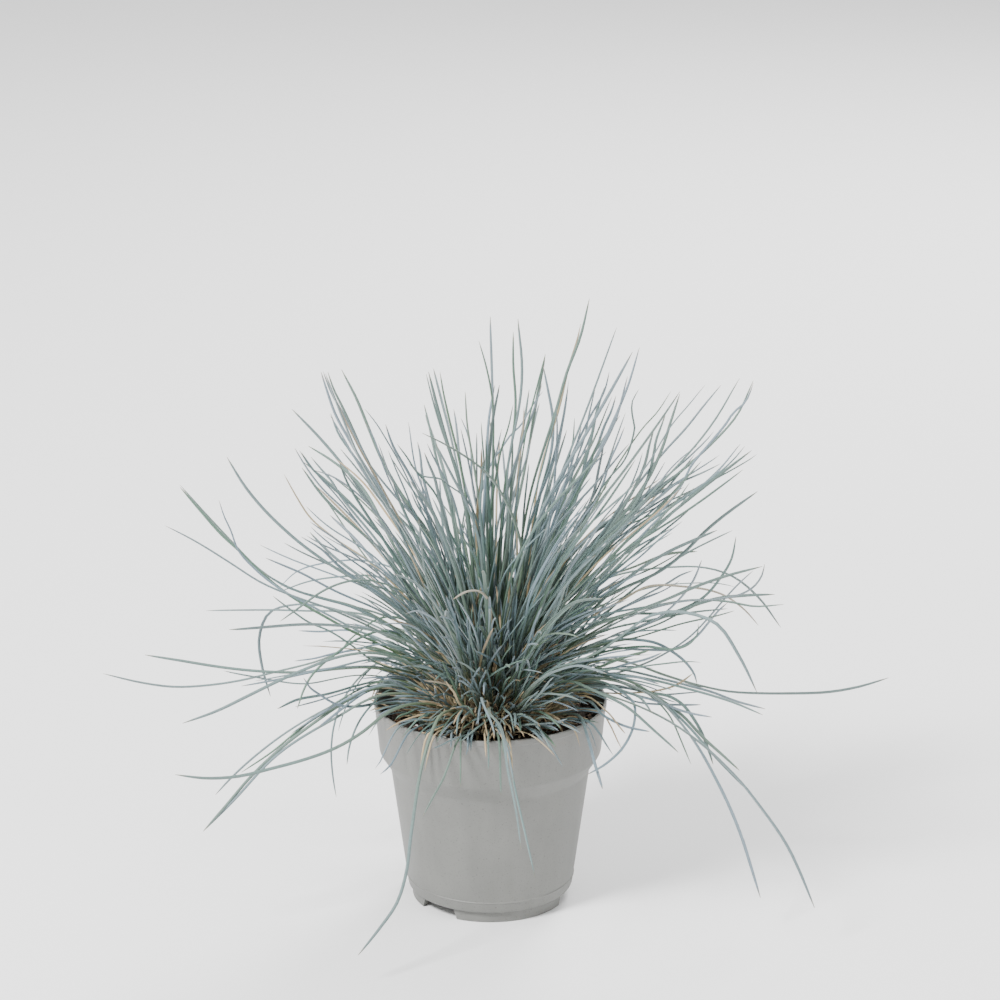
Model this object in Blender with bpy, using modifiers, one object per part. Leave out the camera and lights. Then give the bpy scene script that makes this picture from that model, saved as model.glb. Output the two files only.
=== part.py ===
"""Potted blue fescue clump: a plastic nursery pot, its mix, the crown and the tufts of blades.

Lengths in the tables are millimetres and become metres through MM. +Z is up, the origin is the centre
of the pot's foot on the ground, and the front faces -Y.
"""
import math
import random

import bmesh
import bpy
from mathutils import Vector

MM = 0.001
GAP = 0.3
MERGE = 0.00001
TURN_STEPS = 48

# Pot: heights above the ground and outer radii of a 10.5 cm nursery pot
POT_HEIGHT = 94.3
RIM_RADIUS = 52.5
BAND_FOOT = 70.7
BAND_FOOT_RADIUS = 50.1
SHOULDER_FOOT = 62.9
SHOULDER_FOOT_RADIUS = 45.1
RIM_ROUND = 0.4
RIDGE_HEIGHT = 10.4
RIDGE_RADIUS = 38.1
RIDGE_PROUD = 0.35
RIDGE_HALF = 0.5
BODY_FOOT = 5.2
BODY_FOOT_RADIUS = 37.0
FOOT_RING_RADIUS = 35.5
FOOT_RING_INNER_RADIUS = 33.1
BOTTOM_ROUND = 1.6
WALL = 1.3
INNER_STEP_RISE = 0.6
FLOOR_TOP = 6.6
INNER_CORNER = 2.0
NOTCH_ANGLES = (-42.0, 78.0, 198.0)
NOTCH_WIDTH = 17.0
NOTCH_FLARE = 2.2
NOTCH_DEPTH = 10.0
DRAIN_RADIUS = 4.0
DRAIN_RING = 27.0
DRAIN_SIDES = 12

# Potting mix and crown
MIX_TOP = 86.0
MIX_INSET = WALL + 0.45
CROWN_RADIUS = 30.0
CROWN_HEIGHT = 23.0
CROWN_STEPS = 24
CROWN_RINGS = 5

CROWN_CENTRE = Vector((0.0, 0.0, MIX_TOP + GAP))

# Tufts: tapered locks of blades that stand side by side on the crown
TUFT_COUNT = 54
LOWEST_ROOT = math.radians(20.0)
ROOT_SPACING = 6.4
SPREAD_ROUNDS = 60
SPIRAL_TURNS = 300
GOLDEN_ANGLE = math.radians(137.50776)
ROOT_RADIUS = 2.9
BELLY_RADIUS = 5.0
BELLY_PLACE = 0.32
TIP_RADIUS = 0.45
LIFT_OFF = 5.0
EXTRA_POINTS = 4
FINE_STEPS = 12
ARCH_STEPS = 4
FILL_SEED = 11
FILL_LENGTH = 134.0
SIDEWAYS_LOSS = 0.2

# The blade tips are given as seen: x and height on the upright plane through the pot's axis, from an
# eye this far in front of that plane and this high, and then how far each point lies towards the eye.
EYE_DISTANCE = 1480.0
EYE_HEIGHT = 671.0

# Each tuft that shows in the outline: points (x seen, height seen, towards the eye), the tip last
SEEN_TUFTS = {
    "top_tuft_1": ((20, 200, 4), (28, 227, 3), (32, 243, 2), (38, 259, 1), (43, 280, 0)),
    "top_tuft_2": ((26, 185, -20), (46, 240, -32), (55, 267, -38)),
    "top_tuft_3": ((0, 200, -8), (1, 240, -12), (0, 272, -15)),
    "top_tuft_4": ((8, 190, 22), (13, 240, 32), (12, 271, 36)),
    "top_tuft_5": ((12, 190, -44), (20, 230, -62), (24, 255, -70)),
    "top_tuft_6": ((-12, 190, 22), (-20, 218, 32), (-27, 247, 42)),
    "top_tuft_7": ((24, 185, 52), (46, 226, 76), (62, 256, 88)),
    "left_tuft_1": ((-30, 176, -15), (-46, 202, -22), (-53, 220, -27), (-59, 236, -31), (-65, 248, -35)),
    "left_tuft_2": ((-36, 170, 25), (-58, 208, 40), (-72, 246, 50)),
    "left_tuft_3": ((-42, 170, -48), (-68, 208, -64), (-87, 230, -72)),
    "left_tuft_4": ((-52, 145, 5), (-88, 171, 10), (-104, 188, 10), (-116, 208, 10)),
    "left_tuft_5": ((-52, 134, -24), (-98, 151, -42), (-118, 172, -48), (-137, 195, -52)),
    "left_tuft_6": ((-52, 128, 24), (-98, 147, 40), (-120, 162, 46), (-144, 176, 52)),
    "left_tuft_7": ((-48, 131, -50), (-88, 136, -82), (-127, 136, -100)),
    "left_tuft_8": ((-42, 124, 44), (-78, 129, 74), (-117, 127, 98)),
    "left_tuft_9": ((-50, 108, 0), (-85, 107, 3), (-120, 109, 5), (-155, 115, 6)),
    "left_tuft_10": ((-50, 118, -18), (-85, 110, -26), (-120, 101, -30), (-148, 100, -32), (-174, 106, -32)),
    "left_tuft_11": ((-60, 116, 52), (-90, 105, 66), (-112, 94, 74), (-128, 86, 79), (-139, 82, 82)),
    "drooping_tuft_1": ((-42, 89, 48), (-65, 74, 66), (-95, 61, 80), (-120, 55, 88), (-143, 57, 94)),
    "drooping_tuft_2": ((-50, 99, 14), (-75, 88, 20), (-98, 73, 24), (-116, 57, 26), (-125, 47, 26)),
    "drooping_tuft_3": ((-48, 96, 26), (-72, 84, 36), (-95, 67, 44), (-112, 50, 48), (-131, 29, 52)),
    "drooping_tuft_4": ((-44, 114, -32), (-57, 106, -36), (-69, 86, -38), (-72, 66, -38), (-70, 46, -38)),
    "drooping_tuft_5": ((-24, 84, 50), (-31, 60, 64), (-36, 28, 74), (-42, -4, 84), (-61, -33, 100)),
    "drooping_tuft_6": ((-55, 132, -72), (-84, 139, -90), (-97, 137, -97), (-103, 127, -101),
                        (-103, 113, -102), (-99, 95, -102)),
    "right_tuft_1": ((46, 165, -22), (80, 198, -32), (98, 215, -38), (111, 232, -41), (115, 243, -42)),
    "right_tuft_2": ((44, 162, 32), (76, 195, 48), (95, 220, 55), (109, 244, 60)),
    "right_tuft_3": ((34, 165, 60), (60, 202, 84), (83, 238, 98)),
    "right_tuft_4": ((48, 152, 6), (75, 178, 12), (99, 198, 16), (115, 211, 18)),
    "right_tuft_5": ((46, 138, -28), (78, 158, -44), (95, 173, -50), (118, 192, -56)),
    "right_tuft_6": ((42, 126, 34), (75, 140, 52), (100, 151, 62), (121, 157, 68)),
    "right_tuft_7": ((44, 146, -70), (70, 156, -92), (95, 157, -104), (113, 149, -110), (130, 128, -112)),
    "right_tuft_8": ((48, 127, 8), (75, 138, 18), (100, 141, 24), (120, 138, 28), (131, 139, 30)),
    "right_tuft_9": ((50, 112, -14), (80, 105, -18), (105, 98, -18), (135, 96, -14),
                     (158, 98, -8), (179, 104, -4)),
    "drooping_tuft_7": ((52, 118, 62), (84, 136, 90), (100, 132, 100), (111, 116, 104), (120, 97, 106)),
    "drooping_tuft_8": ((48, 104, 20), (74, 95, 28), (90, 76, 34), (101, 57, 38),
                        (112, 34, 40), (124, -4, 44)),
    "drooping_tuft_9": ((46, 98, 38), (62, 91, 46), (86, 78, 54), (112, 58, 58),
                        (132, 28, 60), (149, -9, 62)),
    "front_tuft": ((0, 88, 60), (7, 69, 120), (14, 20, 177)),
    "back_tuft": ((0, 140, -60), (-5, 171, -120), (-9, 177, -177)),
}


def clear_scene():
    for thing in list(bpy.data.objects):
        bpy.data.objects.remove(thing, do_unlink=True)


def new_collection(name):
    collection = bpy.data.collections.new(name)
    bpy.context.scene.collection.children.link(collection)
    return collection


def new_material(name, colour, roughness):
    material = bpy.data.materials.new(name)
    material.use_nodes = True
    shader = material.node_tree.nodes["Principled BSDF"]
    shader.inputs["Base Color"].default_value = (*colour, 1.0)
    shader.inputs["Roughness"].default_value = roughness
    shader.inputs["Metallic"].default_value = 0.0
    return material


def add_object(name, data, collection, material=None):
    thing = bpy.data.objects.new(name, data)
    if material:
        data.materials.append(material)
    collection.objects.link(thing)
    return thing


def turned(name, profile, steps, collection, material):
    """A solid of revolution: the profile (radius, height) in mm runs down its outer side."""
    mesh = bpy.data.meshes.new(name)
    corners = [(radius * MM, 0.0, height * MM) for radius, height in profile]
    edges = [(index, index + 1) for index in range(len(corners) - 1)]
    mesh.from_pydata(corners, edges, [])
    thing = add_object(name, mesh, collection, material)
    screw = thing.modifiers.new("Turn", "SCREW")
    screw.steps = steps
    screw.render_steps = steps
    screw.use_merge_vertices = True
    screw.merge_threshold = MERGE
    screw.use_smooth_shade = True
    return thing


def cutter(thing):
    thing.hide_render = True
    thing.display_type = "WIRE"
    return thing


def cut(thing, tools):
    for tool in tools:
        boolean = thing.modifiers.new("Cut " + tool.name, "BOOLEAN")
        boolean.operation = "DIFFERENCE"
        boolean.solver = "EXACT"
        boolean.object = tool


def around(degrees, radius):
    """A place at this angle from the front, positive towards +X, and this far from the axis (mm)."""
    angle = math.radians(degrees)
    return Vector((radius * math.sin(angle), -radius * math.cos(angle), 0.0)) * MM


def notch_cutter(number, degrees, collection):
    """A block across the foot ring, wider just below the ground than at its top."""
    shape = bmesh.new()
    bmesh.ops.create_cube(shape, size=1.0)
    for corner in shape.verts:
        low = corner.co.z < 0
        half_width = NOTCH_WIDTH / 2 + (NOTCH_FLARE if low else 0.0)
        corner.co.x = math.copysign(half_width, corner.co.x) * MM
        corner.co.y *= NOTCH_DEPTH * MM
        corner.co.z = (-1.0 if low else BODY_FOOT) * MM
    mesh = bpy.data.meshes.new("notch")
    shape.to_mesh(mesh)
    shape.free()
    block = cutter(add_object(f"notch_cutter_{number}", mesh, collection))
    block.location = around(degrees, (FOOT_RING_RADIUS + FOOT_RING_INNER_RADIUS) / 2)
    block.rotation_euler.z = math.radians(degrees)
    return block


def drain_cutter(number, degrees, collection):
    """A round hole through the floor, beside each notch."""
    shape = bmesh.new()
    bmesh.ops.create_cone(shape, cap_ends=True, segments=DRAIN_SIDES, radius1=DRAIN_RADIUS * MM,
                          radius2=DRAIN_RADIUS * MM, depth=3 * (FLOOR_TOP - BODY_FOOT) * MM)
    mesh = bpy.data.meshes.new("drain")
    shape.to_mesh(mesh)
    shape.free()
    plug = cutter(add_object(f"drain_cutter_{number}", mesh, collection))
    plug.location = around(degrees, DRAIN_RING)
    plug.location.z = (FLOOR_TOP + BODY_FOOT) / 2 * MM
    return plug


def make_pot(collection, cutters, material):
    """One moulded shell: inside floor and wall, rim, outer wall, foot ring and raised bottom."""
    inside_foot = BODY_FOOT_RADIUS - WALL
    profile = [
        (0.0, FLOOR_TOP),
        (inside_foot - INNER_CORNER / 2, FLOOR_TOP),
        (inside_foot + INNER_CORNER / 8, FLOOR_TOP + INNER_CORNER),
        (SHOULDER_FOOT_RADIUS - WALL, SHOULDER_FOOT + INNER_STEP_RISE),
        (BAND_FOOT_RADIUS - WALL, BAND_FOOT + INNER_STEP_RISE),
        (RIM_RADIUS - WALL, POT_HEIGHT - RIM_ROUND),
        (RIM_RADIUS - WALL + RIM_ROUND, POT_HEIGHT),
        (RIM_RADIUS - RIM_ROUND, POT_HEIGHT),
        (RIM_RADIUS, POT_HEIGHT - RIM_ROUND),
        (BAND_FOOT_RADIUS, BAND_FOOT),
        (SHOULDER_FOOT_RADIUS, SHOULDER_FOOT),
        (RIDGE_RADIUS, RIDGE_HEIGHT + RIDGE_HALF),
        (RIDGE_RADIUS + RIDGE_PROUD, RIDGE_HEIGHT),
        (RIDGE_RADIUS, RIDGE_HEIGHT - RIDGE_HALF),
        (BODY_FOOT_RADIUS + BOTTOM_ROUND / 3, BODY_FOOT + BOTTOM_ROUND),
        (BODY_FOOT_RADIUS, BODY_FOOT),
        (FOOT_RING_RADIUS, BODY_FOOT),
        (FOOT_RING_RADIUS, 0.0),
        (FOOT_RING_INNER_RADIUS, 0.0),
        (FOOT_RING_INNER_RADIUS, BODY_FOOT),
        (0.0, BODY_FOOT),
    ]
    pot = turned("pot", profile, TURN_STEPS, collection, material)
    tools = [notch_cutter(number, degrees, cutters) for number, degrees in enumerate(NOTCH_ANGLES, 1)]
    tools += [drain_cutter(number, degrees, cutters) for number, degrees in enumerate(NOTCH_ANGLES, 1)]
    cut(pot, tools)


def make_potting_mix(collection, material):
    """The root ball: it fills the pot from the floor to a little below the rim."""
    slope = (RIM_RADIUS - BAND_FOOT_RADIUS) / (POT_HEIGHT - BAND_FOOT)
    foot_radius = BODY_FOOT_RADIUS - MIX_INSET
    profile = [
        (0.0, MIX_TOP),
        (BAND_FOOT_RADIUS + slope * (MIX_TOP - BAND_FOOT) - MIX_INSET, MIX_TOP),
        (BAND_FOOT_RADIUS - MIX_INSET, BAND_FOOT + INNER_STEP_RISE + GAP),
        (SHOULDER_FOOT_RADIUS - MIX_INSET, SHOULDER_FOOT + INNER_STEP_RISE + GAP),
        (foot_radius, FLOOR_TOP + INNER_CORNER + GAP),
        (foot_radius - INNER_CORNER / 2, FLOOR_TOP + GAP),
        (0.0, FLOOR_TOP + GAP),
    ]
    turned("potting_mix", profile, TURN_STEPS, collection, material)


def make_crown(collection, material):
    """A dome of packed tiller bases on top of the mix."""
    base = MIX_TOP + GAP
    profile = []
    for ring in range(CROWN_RINGS + 1):
        angle = math.pi / 2 * (1 - ring / CROWN_RINGS)
        profile.append((CROWN_RADIUS * math.cos(angle), base + CROWN_HEIGHT * math.sin(angle)))
    profile[0] = (0.0, base + CROWN_HEIGHT)
    profile.append((0.0, base))
    turned("crown", profile, CROWN_STEPS, collection, material)


def on_crown(aim):
    """The place where this direction leaves the crown, and the crown's outward direction there (mm)."""
    flat = Vector((aim.x, aim.y, 0.0))
    rise = max(aim.z, flat.length * math.tan(LOWEST_ROOT))
    aim = Vector((aim.x, aim.y, rise))
    reach = math.sqrt((aim.x ** 2 + aim.y ** 2) / CROWN_RADIUS ** 2 + aim.z ** 2 / CROWN_HEIGHT ** 2)
    place = aim / reach
    outward = Vector((place.x / CROWN_RADIUS ** 2, place.y / CROWN_RADIUS ** 2,
                      place.z / CROWN_HEIGHT ** 2)).normalized()
    return place, outward


def spread_roots(aims):
    """Roots on the crown in the tufts' own directions, moved apart until none crowd their neighbours."""
    places = [on_crown(aim)[0] for aim in aims]
    for _ in range(SPREAD_ROUNDS):
        for first in range(len(places)):
            for second in range(first):
                apart = places[first] - places[second]
                short = ROOT_SPACING - apart.length
                if short > 0:
                    push = apart.normalized() * short / 2
                    places[first] = on_crown(places[first] + push)[0]
                    places[second] = on_crown(places[second] - push)[0]
    return places


def free_places(places, count):
    """Places on the crown that the given roots leave free, evenly spread in a spiral from the top."""
    found = []
    for index in range(SPIRAL_TURNS):
        height = 1.0 - (index + 0.5) / SPIRAL_TURNS * (1.0 - math.sin(LOWEST_ROOT))
        across = math.sqrt(1.0 - height * height)
        turn = index * GOLDEN_ANGLE
        place = on_crown(Vector((across * math.cos(turn), across * math.sin(turn), height)))[0]
        if len(found) < count and all((place - other).length > ROOT_SPACING for other in places + found):
            found.append(place)
    return found


def seen(x, height, towards):
    """The point that shows at x and height on the axis plane, moved along the line of sight (mm)."""
    share = towards / EYE_DISTANCE
    return Vector((x * (1 - share), -towards, height + share * (EYE_HEIGHT - height)))


def smooth_points(knots, count):
    """Evenly spaced points on a smooth curve through the knots."""
    chords = [stop - start for start, stop in zip(knots, knots[1:])]
    spans = [chord.length for chord in chords]
    slopes = [chord.normalized() for chord in chords]
    tangents = [slopes[0]]
    for index in range(1, len(slopes)):
        before, after = spans[index - 1], spans[index]
        tangents.append((slopes[index - 1] * after + slopes[index] * before) / (before + after))
    tangents.append(slopes[-1])
    fine = []
    for index, span in enumerate(spans):
        for step in range(FINE_STEPS):
            share = step / FINE_STEPS
            rest = 1 - share
            fine.append(knots[index] * rest * rest * (1 + 2 * share)
                        + knots[index + 1] * share * share * (3 - 2 * share)
                        + tangents[index] * span * share * rest * rest
                        - tangents[index + 1] * span * share * share * rest)
    fine.append(knots[-1])
    lengths = [0.0]
    for start, stop in zip(fine, fine[1:]):
        lengths.append(lengths[-1] + (stop - start).length)
    points = []
    place = 0
    for index in range(count):
        wanted = lengths[-1] * index / (count - 1)
        while place < len(fine) - 2 and lengths[place + 1] < wanted:
            place += 1
        share = (wanted - lengths[place]) / (lengths[place + 1] - lengths[place])
        points.append(fine[place].lerp(fine[place + 1], share))
    return points


def tuft_radius(share):
    """Radius of a lock along its length: it swells to its belly and tapers to its tip."""
    if share < BELLY_PLACE:
        return ROOT_RADIUS + (BELLY_RADIUS - ROOT_RADIUS) * math.sin(math.pi / 2 * share / BELLY_PLACE)
    fall = (share - BELLY_PLACE) / (1 - BELLY_PLACE)
    return TIP_RADIUS + (BELLY_RADIUS - TIP_RADIUS) * (1 - fall) ** 0.85


def make_tuft(name, knots, collection, material):
    curve = bpy.data.curves.new(name, "CURVE")
    curve.dimensions = "3D"
    curve.bevel_depth = BELLY_RADIUS * MM
    curve.bevel_resolution = 1
    curve.render_resolution_u = 0
    curve.use_fill_caps = True
    count = len(knots) + EXTRA_POINTS
    points = smooth_points(knots, count)
    spline = curve.splines.new("POLY")
    spline.points.add(len(points) - 1)
    for index, (control, point) in enumerate(zip(spline.points, points)):
        control.co = (*(point * MM), 1.0)
        control.radius = tuft_radius(index / (count - 1)) / BELLY_RADIUS
    add_object(name, curve, collection, material)


def rooted(place, knots):
    """Knots of a tuft that leaves its place on the crown square to the surface."""
    outward = on_crown(place)[1]
    start = place + CROWN_CENTRE + outward * GAP
    return [start, start + outward * LIFT_OFF, *knots]


def arch(place, length, lift, sag):
    """Knots of a tuft that leaves at an angle of lift and has bent down by sag at its tip."""
    heading = Vector((place.x, place.y, 0.0)).normalized()
    knots = []
    point = place + CROWN_CENTRE + on_crown(place)[1] * (GAP + LIFT_OFF)
    for step in range(ARCH_STEPS):
        angle = lift - sag * ((step + 0.5) / ARCH_STEPS) ** 1.5
        stride = heading * math.cos(angle) + Vector((0, 0, 1)) * math.sin(angle)
        point = point + stride * length / ARCH_STEPS
        knots.append(point)
    return knots


def make_tufts(collection, material):
    knots = {name: [seen(*point) for point in points] for name, points in SEEN_TUFTS.items()}
    roots = spread_roots([points[0] - CROWN_CENTRE for points in knots.values()])
    for name, root in zip(knots, roots):
        make_tuft(name, rooted(root, knots[name]), collection, material)
    chance = random.Random(FILL_SEED)
    for number, place in enumerate(free_places(roots, TUFT_COUNT - len(roots)), 1):
        lift = math.asin(on_crown(place)[1].z) + math.radians(chance.uniform(-3, 6))
        sag = math.radians(chance.uniform(25, 45))
        sideways = place.x ** 2 / (place.x ** 2 + place.y ** 2)
        length = FILL_LENGTH * (1 - SIDEWAYS_LOSS * sideways) * chance.uniform(0.94, 1.04)
        knots = arch(place, length, lift, sag)
        make_tuft(f"filling_tuft_{number}", rooted(place, knots), collection, material)


def main():
    clear_scene()
    parts = new_collection("Potted blue fescue")
    cutters = new_collection("Cutters")
    plastic = new_material("Pot plastic", (0.35, 0.355, 0.33), 0.6)
    peat = new_material("Peat mix", (0.045, 0.03, 0.02), 0.95)
    sheath = new_material("Dry sheath", (0.42, 0.36, 0.22), 0.8)
    leaf = new_material("Blue-grey leaf", (0.22, 0.32, 0.30), 0.65)
    make_pot(parts, cutters, plastic)
    make_potting_mix(parts, peat)
    make_crown(parts, sheath)
    make_tufts(parts, leaf)


main()
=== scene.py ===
"""Potted blue fescue clump: the looks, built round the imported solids.

Tables are in millimetres and become metres through MM. +Z is up, the pot's foot stands at the origin,
and the front faces -Y.
"""
import math

import bmesh
import bpy
import numpy as np
from mathutils import Matrix, Vector


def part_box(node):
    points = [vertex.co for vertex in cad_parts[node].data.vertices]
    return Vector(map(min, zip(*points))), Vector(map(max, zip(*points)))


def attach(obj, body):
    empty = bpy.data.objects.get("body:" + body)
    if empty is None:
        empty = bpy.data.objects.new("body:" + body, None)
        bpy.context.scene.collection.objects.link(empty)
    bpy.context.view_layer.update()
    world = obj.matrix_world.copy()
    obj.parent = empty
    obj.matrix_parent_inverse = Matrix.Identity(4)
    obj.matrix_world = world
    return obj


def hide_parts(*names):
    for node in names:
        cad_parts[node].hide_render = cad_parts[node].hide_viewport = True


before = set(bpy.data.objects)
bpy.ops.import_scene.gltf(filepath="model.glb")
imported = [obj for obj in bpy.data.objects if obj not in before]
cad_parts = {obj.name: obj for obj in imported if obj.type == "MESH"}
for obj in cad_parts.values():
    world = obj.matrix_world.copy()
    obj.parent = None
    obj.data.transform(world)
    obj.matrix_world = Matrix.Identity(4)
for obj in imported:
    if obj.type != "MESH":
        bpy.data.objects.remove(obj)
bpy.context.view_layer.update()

MM = 0.001
METRE = 1000
MERGE = 0.00001

# Camera: it looks along +Y from this far in front of the pot's axis and this high
EYE_DISTANCE = 1480.0
EYE_HEIGHT = 671.0
CAMERA_TILT = math.radians(18.1)
LENS = 126.76
SENSOR = 36.0
SHIFT_X = 0.0097
SHIFT_Y = 0.0017
NEAR_CLIP = 50.0

# Pot: the heights and radii of its corners, as the solid has them
POT_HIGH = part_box("pot")[1] * METRE
POT_HEIGHT = POT_HIGH.z
RIM_RADIUS = POT_HIGH.x
BAND_FOOT = 70.7
BAND_FOOT_RADIUS = 50.1
SHOULDER_FOOT = 62.9
SHOULDER_FOOT_RADIUS = 45.1
RIDGE_HEIGHT = 10.4
RIDGE_RADIUS = 38.1
BODY_FOOT = 5.2
BODY_FOOT_RADIUS = 37.0
FOOT_RING_RADIUS = 35.5
FOOT_RING_INSIDE = 33.1
WALL = 1.3
FLOOR_TOP = 6.6
NOTCH_ANGLES = (-42.0, 78.0, 198.0)
NOTCH_WIDTH = 17.0
NOTCH_FLARE = 2.2
NOTCH_DEPTH = 10.0
NOTCH_ROOF = 0.02
NOTCH_BELOW = 1.0
DRAIN_RADIUS = 4.0
DRAIN_RING = 27.0
DRAIN_SIDES = 36

# Small forms of the moulding: inner step, bead along the rim, ridge and rounded edges
INNER_STEP_RISE = 0.6
BEAD_DEPTH = 2.4
BEAD_PROUD = 0.4
RIDGE_PROUD = 0.35
RIDGE_HALF = 0.5
BODY_FOOT_PROUD = 0.3
ROUND_POINTS = 5
SMOOTH_ANGLE = math.radians(32)
POT_SIDES = 144

# Mix and crown
MIX_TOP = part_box("potting_mix")[1].z * METRE
CROWN_LOW, CROWN_HIGH = (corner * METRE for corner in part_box("crown"))
CROWN_CENTRE = Vector((0.0, 0.0, CROWN_LOW.z))
CROWN_RADIUS = CROWN_HIGH.x
CROWN_HEIGHT = CROWN_HIGH.z - CROWN_LOW.z
MIX_GAP = 0.45
MIX_LIFT = 0.3
MIX_RINGS = 24
MIX_FOOT_BEVEL = (1.0, 2.0)
MIX_TOP_DEPTH = 0.1
WAVE_HEIGHT = 0.45
EDGE_START = 42
EDGE_WIDTH = 8
EDGE_DROP = 1.3
TURN_SIDES = 96
DOME_RINGS = 14
DOME_INSET = 1.2

# Grains on the mix: the ring that they lie in and how far out they may reach (mm), and how far their middle
# lies above the mix as a share of their half height
GRAIN_RING = (18.0, 48.3)
GRAIN_REACH = 49.3
GRAIN_RISE = (-0.1, 0.6)
GRAIN_ROUGHNESS = (0.72, 1.12)
FLAT_GRAIN = 0.6
FLAT_TILT = 0.25
GRAIN_SEED = 21
GRAINS = (
    # name, count, half lengths (mm), shares of that for length, width and height, and how fine the shape is
    ("peat_crumbs", 1500, (0.5, 1.5), (1.0, 0.9, 0.7), 1),
    ("bark_chips", 330, (1.4, 3.6), (1.0, 0.45, 0.26), 2),
    ("perlite_grains", 70, (0.6, 1.4), (1.0, 0.9, 0.8), 2),
)

# Strands, in shares of their half width: a blade is a folded needle with a keel below and a groove above,
# and a sheath is a plain sleeve
BLADE_SECTION = ((-1.0, 0.35), (-0.72, -0.42), (0.0, -0.78), (0.72, -0.42), (1.0, 0.35), (0.0, 0.12))
SHEATH_SECTION = ((-1.0, 0.0), (-0.5, -0.86), (0.5, -0.86), (1.0, 0.0), (0.5, 0.86), (-0.5, 0.86))
SHEATH_TAPER = (0.8, 1.0, 0.97, 0.85, 0.62, 0.25)
STUB_TAPER = (0.9, 1.0, 0.95, 0.8, 0.55, 0.15)
MARKS = ("along", "tone", "dry", "sheath")

# A blade's width along its length: narrow at the foot, then even, then a fine point
FOOT_WIDTH = 0.75
FOOT_LENGTH = 0.15
TIP_POWER = 16
TIP_CURVE = 0.6
TIP_WIDTH = 0.12

# How finely strands and centre lines are drawn
SPAN_STEPS = 16
SPINE_POINTS = 60
LONE_RINGS = 48
LONG_RINGS = 36
CROWN_RINGS = 14
SHORT_RINGS = 12
SHEATH_RINGS = 6

# A tuft's centre line: its solid's sides, the point that shows its heading, and a nearly upright guide
# for the directions across it
TUFT_SIDES = 6
HEADING_POINT = 3
UPRIGHT_GUIDE = (0.3, 0.2, 1.0)

# How full a tuft is: the first value is for one that heads level or droops, the second for a steep one
LEVEL_CLIMB = 5.0
STEEP_CLIMB = 45.0
TILLERS = (5, 13)
LONG_BLADES = (1, 7)
LONG_SHARES = ((0.38, 0.48), (0.58, 0.74), (0.84, 0.95))
SHORT_LENGTH_HIGH = (36.0, 70.0)

# Tillers more or fewer than a tuft's climb gives it, by its number, where the outline is denser or sparser
TILLER_CHANGE = {
    "right": {1: 12, 3: 11, 4: -6, 5: -3, 6: -4, 8: -3},
    "left": {1: 3, 5: -5, 6: -4, 8: -4, 10: -1, 11: -1},
    "top": {3: -5, 4: -5, 5: -4, 6: -3},
    "filling": {1: -5, 5: -5, 8: -5, 13: -4, 15: -3},
    "drooping": {1: -1, 5: -1, 7: -2, 8: -1},
}

# What all tufts and lone blades share (mm, slopes, and shares of a length)
SHORT_LENGTH_LOW = 22.0
SHORT_BLADES = 2
TILLER_SPREAD = 4.6
LEADER_HALF_WIDTH = 0.78
LONE_HALF_WIDTH = (0.56, 0.78)
LONG_HALF_WIDTH = (0.46, 0.64)
SHORT_HALF_WIDTH = (0.38, 0.56)
SHEATH_HALF_WIDTH = (0.70, 0.98)
SHEATH_LENGTH = (11.0, 22.0)
SHEATH_LEAN = 0.6
ROOT_DEPTH = 2.0
FAN_OUT = 0.040
LONG_LEAN = 0.13
CLOSING = 1.25
SHORT_LEAN = 0.24
LEAN_GROWTH = 1.35
TWIST = 0.9
SIDE_SCATTER = 2.0
BOW = 0.03
WAVE = 0.005
WAVE_COUNT = (0.8, 2.2)
SAG = 0.12
LONE_RISE = 5.0
LONE_NEAR = 0.35

# Tone and dryness (0 to 1)
MIDDLE_TONE = 0.5
TONE_SPREAD = 0.18
TONE_STEP = 0.618
LEADER_DRYNESS = 0.05
DRY_CHANCE = 0.06
DRIED = (0.6, 1.0)
FRESH = (0.0, 0.3)

# On the crown: old sheaths, young blades and dry old blades (mm, degrees and shares)
STUB_COUNT = 1300
STUB_LOWEST = 0.03
STUB_SPREAD = 0.34
STUB_DROOP = 0.12
STUB_DEPTH = 1.8
STUB_LENGTH = (6.0, 15.0)
STUB_HALF_WIDTH = (0.40, 0.85)
YOUNG = dict(count=330, highest=55.0, lengths=(24.0, 74.0), sags=(0.05, 0.60), side_cut=0.55)
OLD = dict(count=90, highest=30.0, lengths=(12.0, 38.0), sags=(0.3, 0.9), dryness=(0.85, 1.0))
CROWN_SPREAD = 0.16
CROWN_BOW = 0.06
SIDE_SHARE = 0.3
BACK_OR_FRONT = (-0.4, 0.6)
TURN_SPREAD = 0.5
RISE = Vector((0.0, 0.0, 0.35))
GOLDEN_ANGLE = math.radians(137.50776)

# Seeds of the random draws
TUFT_SEED = 100
LONE_SEED = 500
CROWN_SEED = 7
YOUNG_SEED = 31

# How far strands stay from pot and ground (mm), where they pass over the rim, and the share of a strand
# that gives way with a ring
RIM_CLEARANCE = 1.0
GROUND_CLEARANCE = 1.5
HANG_DEPTH = 2
RIM_OUTSIDE = 2
RIM_INSIDE = 8
LIFT_REACH = 0.35

# Dust on the pot (mm from its top) and how strongly it shows
DUST_DEPTH = 9
DUST_ABOVE = 1
DUST_STRENGTH = 0.35

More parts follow.
